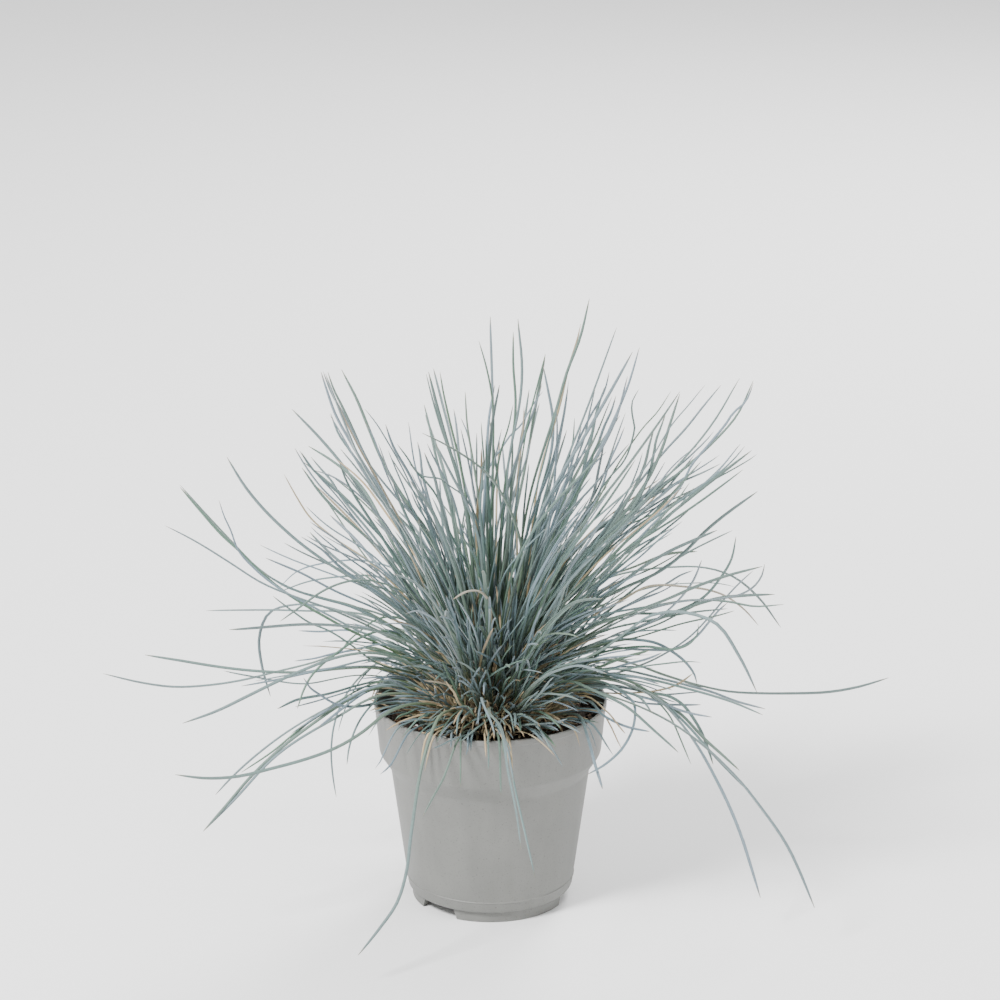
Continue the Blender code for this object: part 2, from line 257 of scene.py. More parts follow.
# Blades that stand alone in the outline: how far the tip lies towards the eye, and the points
# (x, height) where the blade shows on the upright plane through the pot's axis, the tip last
LONE_LEFT = (
    (20, (-52, 120), (-60, 118), (-69, 116), (-79, 113), (-88, 112)),
    (45, (-50, 126), (-62, 121), (-70, 115), (-76, 110), (-81, 104), (-84, 98), (-87, 89)),
    (34, (-50, 113), (-72, 108), (-95, 103), (-112, 100)),
    (40, (-50, 102), (-60, 100), (-75, 96), (-88, 93), (-96, 89)),
    (44, (-52, 100), (-70, 95), (-88, 90)),
    (42, (-46, 98), (-54, 90), (-60, 81), (-64, 70), (-65, 62)),
    (48, (-48, 92), (-60, 90), (-68, 91), (-77, 96), (-81, 99), (-84, 104)),
    (55, (-46, 100), (-58, 97), (-66, 92), (-80, 82), (-96, 69), (-108, 57), (-121, 41), (-131, 29)),
    (38, (-48, 100), (-60, 95), (-70, 90), (-85, 80), (-99, 68), (-113, 58)),
    (30, (-48, 103), (-60, 97), (-72, 90), (-82, 83), (-90, 77)),
    (45, (-47, 101), (-58, 95), (-68, 88), (-78, 80)),
    (20, (-52, 113), (-60, 118), (-72, 125), (-81, 130), (-88, 136), (-97, 143)),
    (-30, (-40, 132), (-52, 131), (-58, 127), (-64, 121), (-67, 116)),
    (60, (-50, 136), (-62, 142), (-70, 146), (-77, 150), (-84, 154), (-93, 158), (-100, 161)),
    (-50, (-30, 148), (-45, 157), (-60, 160), (-73, 159), (-85, 155), (-94, 147)),
    (-70, (-35, 146), (-50, 152), (-65, 152), (-80, 150), (-94, 145)),
    (70, (-40, 146), (-60, 150), (-75, 145), (-85, 138), (-94, 131)),
    (-10, (-70, 131), (-85, 140), (-97, 149), (-104, 156), (-112, 165), (-118, 171), (-128, 183),
     (-137, 194)),
    (10, (-70, 132), (-82, 139), (-95, 147), (-104, 155), (-112, 165), (-115, 174), (-118, 181),
     (-120, 188)),
    (-30, (-40, 145), (-55, 160), (-70, 171), (-80, 180), (-86, 190), (-91, 200)),
    (50, (-42, 145), (-60, 163), (-70, 171), (-76, 175), (-80, 178)),
    (30, (-45, 140), (-68, 158), (-75, 165), (-84, 171)),
    (-20, (-45, 142), (-72, 164), (-80, 173)),
    (-45, (-35, 142), (-50, 158), (-60, 170), (-71, 181)),
    (40, (-40, 150), (-65, 184), (-75, 195), (-82, 205), (-86, 212)),
    (-60, (-42, 165), (-60, 198), (-72, 208), (-80, 213)),
    (15, (-45, 158), (-62, 177), (-75, 192), (-83, 203)),
    (35, (-36, 150), (-47, 169), (-54, 177), (-60, 184), (-67, 191), (-73, 197), (-79, 203), (-84, 211)),
    (-35, (-38, 150), (-53, 173), (-60, 182), (-66, 190), (-70, 197), (-75, 203), (-79, 208)),
    (20, (-36, 158), (-49, 179), (-55, 186), (-63, 194), (-70, 199), (-78, 202)),
    (30, (-36, 165), (-50, 195), (-56, 205), (-62, 216), (-68, 228), (-71, 237), (-74, 247)),
    (5, (-33, 165), (-47, 193), (-52, 203), (-57, 213), (-61, 222), (-65, 231), (-69, 240), (-71, 247)),
    (-25, (-38, 172), (-55, 201), (-62, 211), (-67, 219), (-70, 228)),
    (10, (-28, 178), (-41, 207), (-46, 216), (-50, 223), (-55, 230)),
    (18, (-37, 175), (-52, 203), (-59, 217), (-65, 228), (-70, 238), (-73, 247)),
    (25, (-34, 165), (-50, 198), (-56, 209), (-60, 217), (-66, 230), (-69, 238)),
    (5, (-40, 152), (-62, 182), (-70, 192), (-76, 199), (-80, 205), (-83, 210)),
    (-40, (-35, 165), (-46, 182), (-50, 188), (-56, 196), (-62, 202), (-68, 207)),
    (-15, (-26, 165), (-35, 185), (-38, 193), (-42, 203), (-45, 211)),
    (40, (-32, 165), (-43, 194), (-47, 204), (-49, 210), (-51, 216), (-55, 224)),
)
LONE_TOP = (
    (30, (-25, 170), (-36, 200), (-43, 214), (-46, 223)),
    (20, (-14, 165), (-25, 191), (-30, 197), (-34, 202), (-37, 208), (-41, 214)),
    (-30, (-20, 170), (-33, 203), (-36, 224)),
    (-20, (-20, 165), (-28, 191), (-30, 200), (-31, 210), (-32, 215)),
    (45, (-16, 165), (-23, 191), (-25, 199), (-27, 204), (-29, 210)),
    (-50, (-15, 170), (-23, 205), (-26, 220), (-29, 232)),
    (10, (-8, 170), (-16, 204), (-19, 213), (-22, 222), (-24, 229), (-26, 237), (-28, 246)),
    (-20, (-8, 170), (-14, 208), (-18, 225), (-21, 240), (-22, 247)),
    (50, (-4, 170), (-7, 205), (-10, 225), (-11, 238)),
    (-60, (-8, 180), (-14, 215), (-16, 230)),
    (-35, (-3, 170), (-8, 200), (-9, 213), (-11, 221), (-13, 226)),
    (60, (14, 165), (8, 185), (-3, 202), (-12, 209), (-22, 215), (-30, 219)),
    (35, (-4, 170), (-14, 192), (-17, 194), (-22, 198), (-29, 199), (-36, 205)),
    (20, (-6, 175), (-4, 200), (-4, 212)),
    (15, (-6, 180), (-10, 207), (-13, 221)),
    (0, (1, 200), (0, 240), (-2, 250), (-5, 261)),
    (-10, (6, 190), (11, 235), (10, 250), (10, 265)),
    (30, (-1, 200), (1, 225), (4, 241)),
    (-25, (-3, 200), (-1, 225), (2, 241)),
    (25, (0, 175), (3, 202), (5, 212), (8, 222), (10, 232)),
    (-40, (-6, 180), (1, 206), (5, 212), (9, 218), (13, 222), (17, 229), (20, 234), (23, 238)),
    (20, (10, 170), (17, 225), (20, 238), (24, 255)),
    (-30, (20, 180), (27, 228), (25, 240), (23, 250)),
    (-50, (10, 190), (17, 239)),
    (40, (18, 180), (27, 205), (32, 225), (34, 240)),
    (-40, (20, 175), (33, 205), (36, 215), (37, 226)),
    (-5, (28, 172), (36, 196), (38, 206), (41, 217), (43, 228), (46, 240)),
    (35, (26, 170), (34, 198), (37, 210), (40, 222)),
    (10, (30, 168), (40, 192), (42, 205), (44, 217), (46, 228), (50, 240)),
    (-15, (34, 165), (46, 192), (48, 204), (50, 214)),
    (45, (30, 170), (42, 199), (44, 205), (46, 212), (49, 217)),
    (20, (25, 180), (38, 212), (45, 228), (50, 238), (52, 247)),
    (30, (33, 180), (42, 203), (47, 213), (50, 222), (53, 229), (55, 236)),
    (-20, (30, 180), (45, 205), (55, 225), (60, 245)),
    (-60, (30, 175), (52, 220), (60, 240), (65, 258)),
    (10, (-5, 160), (-6, 195), (-6, 219)),
    (-15, (-2, 160), (-3, 198), (-4, 224)),
    (25, (0, 160), (-1, 195), (-2, 216)),
    (45, (-3, 158), (-4, 186), (-3, 207)),
    (30, (9, 158), (11, 186), (14, 210)),
    (-20, (7, 158), (9, 190), (10, 216)),
    (5, (13, 158), (15, 184), (17, 205)),
)
LONE_RIGHT = (
    (-20, (38, 170), (53, 199), (58, 205), (60, 209), (62, 216), (63, 221), (62, 227), (62, 233),
     (65, 239)),
    (-30, (38, 172), (50, 196), (53, 207), (56, 214), (59, 222)),
    (0, (45, 165), (63, 197), (66, 206), (67, 210)),
    (-10, (50, 170), (65, 197), (68, 205), (70, 214), (72, 221)),
    (-40, (38, 170), (60, 210), (68, 222), (73, 228), (79, 238)),
    (15, (48, 160), (62, 182), (69, 196), (71, 203), (72, 209), (73, 216), (75, 222), (77, 228)),
    (-35, (50, 168), (72, 203), (76, 213), (79, 223), (81, 230), (83, 237)),
    (20, (42, 170), (70, 205), (82, 225), (86, 230), (94, 241)),
    (-50, (45, 165), (78, 212), (85, 220), (94, 232), (101, 241)),
    (25, (55, 165), (85, 197), (88, 203), (97, 214), (104, 223), (107, 228), (112, 233), (114, 238),
     (115, 242)),
    (-45, (60, 165), (93, 194), (100, 201), (105, 207), (109, 213)),
    (40, (62, 168), (97, 198), (103, 203), (108, 208), (112, 213)),
    (-15, (48, 150), (80, 184), (99, 200), (110, 214)),
    (50, (40, 140), (65, 160), (75, 170), (85, 178)),
    (55, (45, 150), (75, 185), (93, 206)),
    (5, (48, 160), (68, 187), (74, 195), (80, 203), (86, 209), (91, 213)),
    (30, (50, 150), (70, 173), (78, 182), (83, 188), (88, 196)),
    (30, (60, 134), (85, 137), (95, 142), (103, 152), (107, 160), (109, 171)),
    (50, (60, 132), (85, 140), (104, 142), (112, 144), (117, 147), (121, 153), (122, 158)),
    (-20, (50, 104), (74, 113), (91, 125), (98, 133), (105, 142), (111, 149), (117, 155)),
    (-55, (44, 128), (58, 137), (70, 144), (79, 149), (85, 153), (90, 155)),
    (60, (55, 124), (75, 132), (84, 141), (90, 150), (94, 160)),
    (-70, (45, 148), (60, 156), (75, 162), (92, 164)),
    (-40, (45, 134), (58, 141), (70, 147), (85, 147), (105, 143), (113, 137), (120, 129)),
    (45, (50, 120), (65, 124), (85, 129), (100, 133), (109, 136)),
    (10, (50, 126), (70, 131), (90, 135), (106, 137)),
    (15, (50, 120), (62, 124), (75, 129), (85, 135), (93, 139)),
    (35, (50, 118), (70, 118), (84, 119), (92, 124), (98, 131), (102, 136), (106, 140)),
    (30, (45, 120), (65, 122), (75, 120), (82, 116), (88, 111), (92, 105), (93, 101)),
    (50, (50, 116), (70, 119), (84, 118), (90, 121), (93, 126), (93, 130)),
    (60, (45, 108), (55, 112), (71, 117)),
    (50, (50, 107), (62, 110), (77, 116)),
    (50, (46, 107), (60, 105), (70, 103), (76, 101)),
    (15, (46, 104), (60, 103), (70, 100), (78, 97)),
    (40, (46, 106), (58, 104), (72, 101), (82, 98)),
    (25, (45, 97), (60, 96), (75, 98), (84, 101), (91, 106)),
    (25, (50, 108), (80, 103), (90, 100), (100, 97), (110, 93), (124, 89)),
    (35, (50, 106), (90, 98), (110, 92), (123, 86)),
    (40, (50, 101), (70, 94), (85, 88), (100, 85)),
    (20, (50, 99), (65, 93), (80, 91), (95, 91)),
    (20, (46, 100), (60, 99), (72, 96), (84, 92)),
    (15, (48, 101), (75, 96), (94, 97)),
    (58, (46, 103), (60, 98), (68, 94), (73, 87)),
    (60, (44, 93), (51, 86), (60, 81), (72, 78)),
    (62, (42, 95), (52, 88), (61, 77)),
    (65, (46, 98), (58, 98), (65, 91), (65, 82), (60, 70), (52, 62), (44, 57)),
    (72, (38, 84), (44, 72), (48, 60), (51, 50)),
    (30, (46, 104), (70, 97), (80, 86), (86, 74), (91, 62)),
    (28, (44, 106), (60, 102), (72, 97), (80, 95), (86, 91), (91, 85), (96, 77), (99, 69), (101, 62)),
    (46, (48, 104), (72, 96), (88, 82), (102, 66), (116, 50)),
    (42, (46, 106), (62, 102), (74, 95), (86, 87), (98, 74), (106, 66), (113, 59)),
)

# Stage (m and W): each light's name, place, width and power, the lit point and half the floor's width
LIGHTS = (
    ("key", (-1.2, -1.1, 1.8), 0.55, 115.0),
    ("fill", (1.5, -0.9, 0.9), 1.4, 12.0),
    ("back", (0.7, 1.5, 1.4), 0.8, 50.0),
)
LIT_POINT = Vector((0.0, 0.0, 0.12))
FLOOR_REACH = 40.0


def new_object(name, data):
    """An object in the scene with this data."""
    thing = bpy.data.objects.new(name, data)
    bpy.context.scene.collection.objects.link(thing)
    return thing


def mesh_object(name, corners, edges=(), faces=()):
    """An object with this mesh, its corners in metres."""
    mesh = bpy.data.meshes.new(name)
    mesh.from_pydata(corners, edges, faces)
    return new_object(name, mesh)


def write_mark(mesh, name, values):
    """A value for each corner, which a material reads by its name."""
    layer = mesh.attributes.new(name, "FLOAT", "POINT")
    layer.data.foreach_set("value", np.ascontiguousarray(values, dtype=np.float32))


def belongs(piece, material, slot, *nodes):
    """A piece's material and body, and the nodes that it stands in for, which are hidden. The slot is not
    used.
    """
    piece.data.materials.clear()
    piece.data.materials.append(material)
    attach(piece, "root")
    if nodes:
        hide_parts(*nodes)


def unit(vectors):
    """The same directions, each one long."""
    return vectors / np.linalg.norm(vectors, axis=-1, keepdims=True)


def steps(paths):
    """How long each step along the paths is."""
    return np.linalg.norm(np.diff(paths, axis=-2), axis=-1)


def seen(x, height, towards):
    """The point that shows at x and height on the axis plane, moved along the line of sight (mm)."""
    share = towards / EYE_DISTANCE
    return Vector((x * (1 - share), -towards, height + share * (EYE_HEIGHT - height)))


def resample(points, count):
    """Evenly spaced points on a smooth curve through the knots."""
    knots = np.array(points, dtype=float)
    spans = steps(knots)
    slopes = np.diff(knots, axis=0) / spans[:, None]
    weights = spans[:-1] + spans[1:]
    inner = (slopes[:-1] * spans[1:, None] + slopes[1:] * spans[:-1, None]) / weights[:, None]
    tangents = np.vstack([slopes[:1], inner, slopes[-1:]])
    share = np.linspace(0, 1, SPAN_STEPS, endpoint=False)[None, :, None]
    rest = 1 - share
    span = spans[:, None, None]
    fine = (knots[:-1, None] * rest ** 2 * (1 + 2 * share) + knots[1:, None] * share ** 2 * (3 - 2 * share)
            + tangents[:-1, None] * span * share * rest ** 2
            - tangents[1:, None] * span * share ** 2 * rest)
    fine = np.vstack([fine.reshape(-1, 3), knots[-1:]])
    lengths = np.concatenate([[0], np.cumsum(steps(fine))])
    wanted = np.linspace(0, lengths[-1], count)
    return np.stack([np.interp(wanted, lengths, fine[:, axis]) for axis in range(3)], axis=1)


def tuft_spine(node):
    """A tuft solid's centre line from root to tip, ring by ring (mm)."""
    shape = bmesh.new()
    shape.from_mesh(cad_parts[node].data)
    bmesh.ops.remove_doubles(shape, verts=shape.verts, dist=MERGE)
    centre = CROWN_CENTRE * MM
    ring = sorted(shape.verts, key=lambda corner: (corner.co - centre).length)[:TUFT_SIDES]
    used = set(ring)
    spine = []
    while ring:
        middle = sum((corner.co for corner in ring), Vector()) / len(ring)
        spine.append(tuple(middle * METRE))
        beyond = {edge.other_vert(corner) for corner in ring for edge in corner.link_edges} - used
        used |= beyond
        ring = sorted(beyond, key=lambda corner: corner.index)
    shape.free()
    return spine


def on_crown(aim):
    """The place where this direction leaves the crown and the way out of it there (mm)."""
    reach = math.sqrt((aim.x ** 2 + aim.y ** 2) / CROWN_RADIUS ** 2 + aim.z ** 2 / CROWN_HEIGHT ** 2)
    place = aim / reach
    outward = Vector((place.x / CROWN_RADIUS ** 2, place.y / CROWN_RADIUS ** 2,
                      place.z / CROWN_HEIGHT ** 2)).normalized()
    return place + CROWN_CENTRE, outward


def ease(amounts):
    """Each strand's largest need, spread smoothly over its neighbouring rings."""
    along = np.linspace(0, 1, amounts.shape[1])
    apart = np.abs(along[:, None] - along[None, :]) / LIFT_REACH
    spread = np.maximum(1 - apart ** 2, 0) ** 2
    return (amounts[:, None, :] * spread).max(axis=2)


def clear_of_pot(paths):
    """Strands pass over the mix and the rim, hang outside the wall and stay above the ground (mm)."""
    radius = np.hypot(paths[..., 0], paths[..., 1])
    hangs = paths[..., 2] < MIX_TOP - HANG_DEPTH
    outward = ease(np.where(hangs, np.maximum(RIM_RADIUS + RIM_CLEARANCE - radius, 0), 0))
    paths[..., :2] *= (1 + outward / np.maximum(radius, 1))[..., None]
    radius = np.hypot(paths[..., 0], paths[..., 1])
    floor = np.where(radius < RIM_RADIUS + RIM_OUTSIDE, POT_HEIGHT + RIM_CLEARANCE, GROUND_CLEARANCE)
    floor = np.where(radius < RIM_RADIUS - RIM_INSIDE, MIX_TOP + RIM_CLEARANCE, floor)
    paths[..., 2] += ease(np.maximum(floor - paths[..., 2], 0))
    return paths


class Spine:
    """A tuft's centre line, with the two directions that lie across its root."""

    def __init__(self, node):
        self.points = resample(tuft_spine(node), SPINE_POINTS)
        self.length = steps(self.points).sum()
        self.outward = unit(self.points[HEADING_POINT] - self.points[0])
        self.level = unit(np.cross(self.outward, UPRIGHT_GUIDE))
        self.rising = np.cross(self.outward, self.level)

    def scaled(self, span):
        """A value between the one for a tuft that heads level or droops and the one for a steep one."""
        climb = math.degrees(math.asin(unit(self.points[-1] - self.points[0])[2]))
        share = min(max((climb - LEVEL_CLIMB) / (STEEP_CLIMB - LEVEL_CLIMB), 0.0), 1.0)
        return span[0] + (span[1] - span[0]) * share

    def strand(self, length, rings, root, lean=(0.0, 0.0), bow=(0.0, 0.0), sag=0.0):
        """A strand beside the centre line, which starts at root and leans away, bows and sags (mm)."""
        share = np.linspace(0, 1, rings)
        places = share * length / self.length * (SPINE_POINTS - 1)
        path = np.stack([np.interp(places, np.arange(SPINE_POINTS), self.points[:, axis])
                         for axis in range(3)], axis=1)
        away = (np.outer(1 - share, root) + np.outer(length * share ** LEAN_GROWTH, lean)
                + np.outer(length * np.sin(math.pi * share), bow))
        path += away[:, :1] * self.level + away[:, 1:] * self.rising
        path[:, 2] -= sag * length * share ** 2
        path[0] -= self.outward * ROOT_DEPTH
        return path

    def swayed(self, length, rings, root, lean, rng):
        """A strand with a bow and a sag of its own."""
        return self.strand(length, rings, root, lean, rng.normal(0, BOW, 2), rng.uniform(0, SAG))


def skin(paths, widths, section, twists, sides):
    """The strands' corners: a section set across each path, ring by ring, and twisted along it (mm)."""
    along = unit(np.gradient(paths, axis=1))
    across = sides[:, None, :]
    across = unit(across - (across * along).sum(2, keepdims=True) * along)
    upper = np.cross(across, along)
    turn = (twists[:, None] * np.linspace(0, 1, paths.shape[1]))[..., None]
    wide = across * np.cos(turn) + upper * np.sin(turn)
    deep = upper * np.cos(turn) - across * np.sin(turn)
    shape = np.array(section) * widths[:, :, None, None]
    return paths[:, :, None] + shape[..., :1] * wide[:, :, None] + shape[..., 1:] * deep[:, :, None]


def make_strands(name, groups, material, slot, *nodes):
    """A piece of many closed strands, from each group's corners (mm) and marks."""
    corners, faces, marks = [], [], []
    start = 0
    for places, own_marks in groups:
        strands, rings, sectors = places.shape[:3]
        index = start + np.arange(strands * rings * sectors).reshape(strands, rings, sectors)
        following = np.roll(index, -1, axis=2)
        sides = np.stack([index[:, :-1], following[:, :-1], following[:, 1:], index[:, 1:]], axis=-1)
        faces += sides.reshape(-1, 4).tolist() + index[:, 0, ::-1].tolist() + index[:, -1].tolist()
        along = np.tile(np.repeat(np.linspace(0, 1, rings), sectors), strands)
        marks.append(np.column_stack([along, np.repeat(own_marks, rings * sectors, axis=0)]))
        corners.append(places.reshape(-1, 3) * MM)
        start += index.size
    piece = mesh_object(name, np.concatenate(corners), faces=faces)
    for mark, values in zip(MARKS, np.concatenate(marks).T):
        write_mark(piece.data, mark, values)
    piece.data.shade_smooth()
    belongs(piece, material, slot, *nodes)


def sides_for(paths, rng):
    """A direction across each strand, roughly level and square to its heading."""
    heading = paths[:, -1] - paths[:, 0]
    flat = np.stack([-heading[:, 1], heading[:, 0], np.zeros(len(heading))], axis=1)
    flat += rng.normal(0, SIDE_SCATTER, flat.shape)
    return unit(flat)


def bend(paths, rng):
    """Each blade's own slow bends, which leave its root and its tip in place (mm)."""
    count = len(paths)
    along = np.linspace(0, 1, paths.shape[1])
    lengths = steps(paths).sum(axis=1)
    turns = np.outer(rng.uniform(*WAVE_COUNT, count), along) + rng.uniform(0, 1, (count, 1))
    swing = WAVE * lengths[:, None] * np.sin(2 * math.pi * turns) * 4 * along * (1 - along)
    ways = rng.normal(size=(count, 1, 3))
    return paths + swing[..., None] * ways


def shaped(strands, paths, taper, section, twists, rng):
    """The strands' corners (mm), once their paths are clear of the pot, and their marks."""
    _, widths, marks = zip(*strands)
    paths = clear_of_pot(paths)
    corners = skin(paths, np.outer(widths, taper), section, twists, sides_for(paths, rng))
    return corners, np.array(marks)


def blades(strands, rng):
    """Blades from (path, half width, marks): a narrower foot, an even width, then a fine point."""
    paths = bend(np.array([path for path, *_ in strands]), rng)
    along = np.linspace(0, 1, paths.shape[1])
    foot = FOOT_WIDTH + (1 - FOOT_WIDTH) * np.minimum(along / FOOT_LENGTH, 1)
    point = np.maximum(1 - along ** TIP_POWER, 0) ** TIP_CURVE
    twists = rng.normal(0, TWIST, len(paths))
    return shaped(strands, paths, np.maximum(foot * point, TIP_WIDTH), BLADE_SECTION, twists, rng)


def sleeves(strands, taper, rng):
    """Plain sleeves round the feet of tillers, from (path, half width, marks)."""
    paths = np.array([path for path, *_ in strands])
    return shaped(strands, paths, taper, SHEATH_SECTION, np.zeros(len(paths)), rng)


def blade_mark(tone, rng):
    """Tone, dryness and no sheath: a few blades have dried to straw."""
    dry = rng.uniform(*DRIED) if rng.uniform() < DRY_CHANCE else rng.uniform(*FRESH) ** 2
    return np.clip(tone + rng.normal(0, TONE_SPREAD), 0, 1), dry, 0.0


def tiller_change(node):
    """Tillers more or fewer than the tuft's climb gives it."""
    group, _, number = node.partition("_tuft_")
    return TILLER_CHANGE.get(group, {}).get(int(number or 0), 0)


def grow_tuft(node, material, tuft_tone, rng):
    """Tillers round the tuft's own centre line, each with its sheath, short blades and maybe a long one."""
    spine = Spine(node)
    change = tiller_change(node)
    tone = np.clip(rng.normal(MIDDLE_TONE, TONE_SPREAD), 0, 1)
    leader = spine.strand(spine.length, LONG_RINGS, (0.0, 0.0))
    long_blades = [(leader, LEADER_HALF_WIDTH, (tone, LEADER_DRYNESS, 0.0))]
    short_blades, sheaths = [], []
    for tiller in range(round(spine.scaled(TILLERS)) + change):
        angle = rng.uniform(0, 2 * math.pi)
        root = TILLER_SPREAD * math.sqrt(rng.uniform()) * np.array((math.cos(angle), math.sin(angle)))
        tone = (rng.uniform() + tuft_tone) / 2
        lean = FAN_OUT * root + rng.normal(0, LONG_LEAN, 2)
        if tiller < round(spine.scaled(LONG_BLADES)) + change:
            share = rng.triangular(*(spine.scaled(span) for span in LONG_SHARES))
            path = spine.swayed(spine.length * share, LONG_RINGS, root, lean * (CLOSING - share), rng)
            long_blades.append((path, rng.uniform(*LONG_HALF_WIDTH), blade_mark(tone, rng)))
        for _ in range(SHORT_BLADES):
            length = rng.uniform(SHORT_LENGTH_LOW, spine.scaled(SHORT_LENGTH_HIGH))
            own = FAN_OUT * root + rng.normal(0, SHORT_LEAN, 2)
            path = spine.swayed(length, SHORT_RINGS, root, own, rng)
            short_blades.append((path, rng.uniform(*SHORT_HALF_WIDTH), blade_mark(tone, rng)))
        path = spine.strand(rng.uniform(*SHEATH_LENGTH), SHEATH_RINGS, root, lean * SHEATH_LEAN)
        sheaths.append((path, rng.uniform(*SHEATH_HALF_WIDTH), (tone, rng.uniform(), 1.0)))
    groups = [blades(long_blades, rng), blades(short_blades, rng), sleeves(sheaths, SHEATH_TAPER, rng)]
    make_strands(node + "_blades", groups, material, "leaf", node)


def grow_lone_blades(side, shapes, material, rng):
    """Single blades past the mass, which show one by one in the outline."""
    lone = []
    for towards, *points in shapes:
        first, last = Vector(points[0]), Vector(points[-1])
        knots = []
        for point in points:
            share = (Vector(point) - first).length / (last - first).length
            knots.append(seen(*point, towards * min(LONE_NEAR + (1 - LONE_NEAR) * share, 1.0)))
        root, outward = on_crown(knots[0] - CROWN_CENTRE)
        path = resample([root - outward * ROOT_DEPTH, root + outward * LONE_RISE, *knots], LONE_RINGS)
        lone.append((path, rng.uniform(*LONE_HALF_WIDTH), blade_mark(rng.uniform(), rng)))
    make_strands(f"lone_blades_{side}", [blades(lone, rng)], material, "leaf")


def settle(thing):
    """The object's modifiers become its mesh."""
    graph = bpy.context.evaluated_depsgraph_get()
    mesh = bpy.data.meshes.new_from_object(thing.evaluated_get(graph))
    thing.modifiers.clear()
    thing.data = mesh


def turned(name, profile, sides):
    """A smooth solid of revolution: the profile (radius, height) in mm runs down its outer side."""
    corners = [(radius * MM, 0.0, height * MM) for radius, height in profile]
    thing = mesh_object(name, corners, edges=[(index, index + 1) for index in range(len(corners) - 1)])
    screw = thing.modifiers.new("Turn", "SCREW")
    screw.steps = sides
    screw.use_merge_vertices = True
    screw.merge_threshold = MERGE
    settle(thing)
    thing.data.shade_smooth()
    return thing


def rounded(corners):
    """The profile through corners (radius, height, trim): each is trimmed on both sides and curved (mm)."""
    places = [Vector((radius, height)) for radius, height, _ in corners]
    profile = []
    for index, (place, (*_, trim)) in enumerate(zip(places, corners)):
        if trim == 0:
            profile.append(place)
            continue
        before = place + (places[index - 1] - place).normalized() * trim
        after = place + (places[index + 1] - place).normalized() * trim
        for step in range(ROUND_POINTS):
            share = step / (ROUND_POINTS - 1)
            profile.append(before.lerp(place, share).lerp(place.lerp(after, share), share))
    return profile


def cut(thing, tool):
    """The tool's shape is taken out of the object, and the tool goes."""
    boolean = thing.modifiers.new("Cut", "BOOLEAN")
    boolean.operation = "DIFFERENCE"
    boolean.solver = "EXACT"
    boolean.object = tool
    settle(thing)
    bpy.data.objects.remove(tool)


def cutter(shape, degrees, radius, height=0.0):
    """A tool of this shape at its place round the foot: degrees from the front, radius and height (mm)."""
    mesh = bpy.data.meshes.new("cutter")
    shape.to_mesh(mesh)
    shape.free()
    tool = new_object("cutter", mesh)
    angle = math.radians(degrees)
    tool.location = Vector((radius * math.sin(angle), -radius * math.cos(angle), height)) * MM
    return tool


def notch_cutter(degrees):
    """A block as large as one notch of the foot ring, wider at its foot."""
    shape = bmesh.new()
    bmesh.ops.create_cube(shape, size=1.0)
    for corner in shape.verts:
        low = corner.co.z < 0
        half_width = NOTCH_WIDTH / 2 + (NOTCH_FLARE if low else 0.0)
        corner.co.x = math.copysign(half_width, corner.co.x) * MM
        corner.co.y *= NOTCH_DEPTH * MM
        corner.co.z = (-NOTCH_BELOW if low else BODY_FOOT - NOTCH_ROOF) * MM
    block = cutter(shape, degrees, (FOOT_RING_RADIUS + FOOT_RING_INSIDE) / 2)
    block.rotation_euler.z = math.radians(degrees)
    return block


def drain_cutter(degrees):
    """A round plug as large as one drain hole in the floor."""
    shape = bmesh.new()
    bmesh.ops.create_cone(shape, cap_ends=True, segments=DRAIN_SIDES, radius1=DRAIN_RADIUS * MM,
                          radius2=DRAIN_RADIUS * MM, depth=FLOOR_TOP * MM)
    return cutter(shape, degrees, DRAIN_RING, (FLOOR_TOP + BODY_FOOT) / 2)


def make_pot(material):
    """The moulded shell, with a beaded rim, shoulder, ridge and notched foot ring."""
    # radius, height and trim of each corner, from the floor's middle over the rim to the underside's
    corners = [
        (0.0, FLOOR_TOP, 0.0),
        (BODY_FOOT_RADIUS - WALL, FLOOR_TOP, 1.6),
        (SHOULDER_FOOT_RADIUS - WALL, SHOULDER_FOOT + INNER_STEP_RISE, 1.0),
        (BAND_FOOT_RADIUS - WALL, BAND_FOOT + INNER_STEP_RISE, 1.0),
        (RIM_RADIUS - WALL, POT_HEIGHT, 0.5),
        (RIM_RADIUS, POT_HEIGHT, 0.6),
        (RIM_RADIUS, POT_HEIGHT - BEAD_DEPTH, 0.3),
        (RIM_RADIUS - BEAD_PROUD, POT_HEIGHT - BEAD_DEPTH - BEAD_PROUD, 0.2),
        (BAND_FOOT_RADIUS, BAND_FOOT, 1.1),
        (SHOULDER_FOOT_RADIUS, SHOULDER_FOOT, 1.1),
        (RIDGE_RADIUS, RIDGE_HEIGHT + RIDGE_HALF, 0.1),
        (RIDGE_RADIUS + RIDGE_PROUD, RIDGE_HEIGHT, 0.3),
        (RIDGE_RADIUS, RIDGE_HEIGHT - RIDGE_HALF, 0.1),
        (BODY_FOOT_RADIUS + BODY_FOOT_PROUD, BODY_FOOT, 1.2),
        (FOOT_RING_RADIUS, BODY_FOOT, 0.0),
        (FOOT_RING_RADIUS, 0.0, 0.35),
        (FOOT_RING_INSIDE, 0.0, 0.35),
        (FOOT_RING_INSIDE, BODY_FOOT, 0.0),
        (0.0, BODY_FOOT, 0.0),
    ]
    pot = turned("moulded_pot", rounded(corners), POT_SIDES)
    for degrees in NOTCH_ANGLES:
        cut(pot, notch_cutter(degrees))
        cut(pot, drain_cutter(degrees))
    pot.data.shade_smooth()
    pot.data.set_sharp_from_angle(angle=SMOOTH_ANGLE)
    belongs(pot, material, "pot_plastic", "pot")


